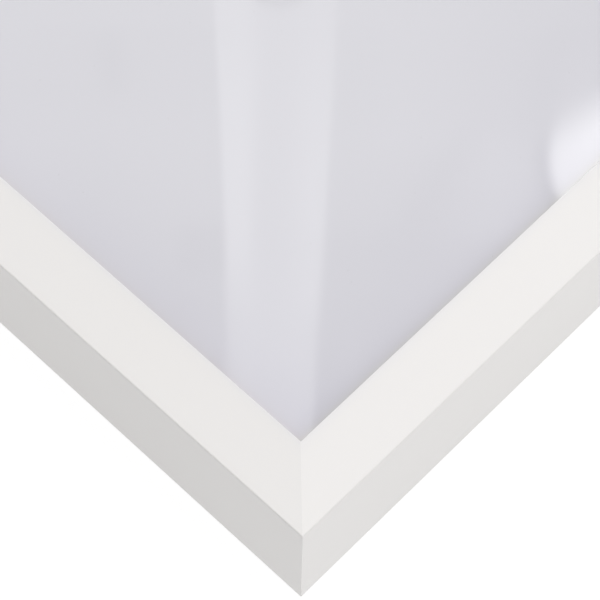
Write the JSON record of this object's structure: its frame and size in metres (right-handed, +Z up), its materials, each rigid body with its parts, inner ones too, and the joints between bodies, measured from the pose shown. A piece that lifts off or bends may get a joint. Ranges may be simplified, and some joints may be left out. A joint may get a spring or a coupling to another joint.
{
  "type": "light table",
  "caption": "Flat light box with a mitred white frame around a glossy opal viewing panel, lit from inside, with a rocker switch and a dimmer knob at the rear.",
  "frame": {"origin": "on the table plane, at the middle of the bounding box's footprint; the frame's own middle is 6 mm in front of it, because the dimmer knob stands 12 mm out of the rear wall", "axes": "+X along the long side, +Y out of the rear wall that holds the controls, +Z up out of the viewing panel"},
  "size_m": [0.46, 0.349, 0.0465],
  "materials": {
    "white_coat": "satin white powder coat on extruded aluminium, fine orange-peel texture",
    "opal_acrylic": "gloss opal acrylic, cool white, translucent, 4 mm thick",
    "gasket_foam": "matte closed-cell foam",
    "cover_coat": "satin light grey powder coat on steel sheet",
    "reflector_coat": "matte high-reflectance white paint on sheet metal",
    "zinc_steel": "bright zinc plate",
    "die_cast": "as-cast satin",
    "black_rubber": "matte moulded rubber",
    "led_board": "white solder mask on an aluminium-core board, with clear moulded lenses",
    "driver_board": "green solder mask on glass-fibre board, with black components",
    "natural_nylon": "natural nylon",
    "black_moulding": "black moulded plastic, fine spark texture",
    "nickel_plate": "bright nickel plate",
    "wire_red": "red PVC insulation",
    "wire_black": "black PVC insulation",
    "wire_grey": "grey PVC sleeve",
    "wire_white": "white PVC insulation"
  },
  "bodies": {
    "table": {"back_cover": "cover_coat", "board_support_front_left": "natural_nylon", "board_support_front_right": "natural_nylon", "board_support_rear_left": "natural_nylon", "board_support_rear_right": "natural_nylon", "corner_key_front_left": "die_cast", "corner_key_front_right": "die_cast", "corner_key_rear_left": "die_cast", "corner_key_rear_right": "die_cast", "cover_screw_front_left": "zinc_steel", "cover_screw_front_middle": "zinc_steel", "cover_screw_front_right": "zinc_steel", "cover_screw_left_middle": "zinc_steel", "cover_screw_rear_left": "zinc_steel", "cover_screw_rear_middle": "zinc_steel", "cover_screw_rear_right": "zinc_steel", "cover_screw_right_middle": "zinc_steel", "diffuser_panel": "opal_acrylic", "dimmer_nut": "nickel_plate", "dimmer_pot": "nickel_plate", "driver_board": "driver_board", "foot_front_left": "black_rubber", "foot_front_right": "black_rubber", "foot_rear_left": "black_rubber", "foot_rear_right": "black_rubber", "frame_front": "white_coat", "frame_left": "white_coat", "frame_rear": "white_coat", "frame_right": "white_coat", "led_bar_1": "led_board", "led_bar_2": "led_board", "led_bar_3": "led_board", "led_bar_4": "led_board", "led_bar_5": "led_board", "led_ribbon": "wire_white", "panel_gasket": "gasket_foam", "panel_post_left": "natural_nylon", "panel_post_right": "natural_nylon", "power_inlet": "black_moulding", "power_inlet_nut": "nickel_plate", "reflector_tray": "reflector_coat", "switch_housing": "black_moulding", "tray_grommet": "black_rubber", "tray_spacer_front_left": "zinc_steel", "tray_spacer_front_right": "zinc_steel", "tray_spacer_rear_left": "zinc_steel", "tray_spacer_rear_right": "zinc_steel", "wire_board_to_leds": "wire_white", "wire_dimmer_to_board": "wire_grey", "wire_inlet_to_board": "wire_black", "wire_inlet_to_switch": "wire_red", "wire_switch_to_board": "wire_red"},
    "rocker": {"switch_rocker": "black_moulding"},
    "dimmer": {"dimmer_knob": "black_moulding", "dimmer_shaft": "nickel_plate"}
  },
  "joints": [
    {"name": "switch_tilt", "type": "hinge", "parent": "table", "child": "rocker", "pos_m": [0.112, 0.1622, 0.0175], "axis": [0, 0, 1], "range_deg": [-16, 0]},
    {"name": "dimmer_turn", "type": "hinge", "parent": "table", "child": "dimmer", "pos_m": [0.15, 0.1625, 0.0175], "axis": [0, -1, 0], "range_deg": [0, 280]}
  ]
}
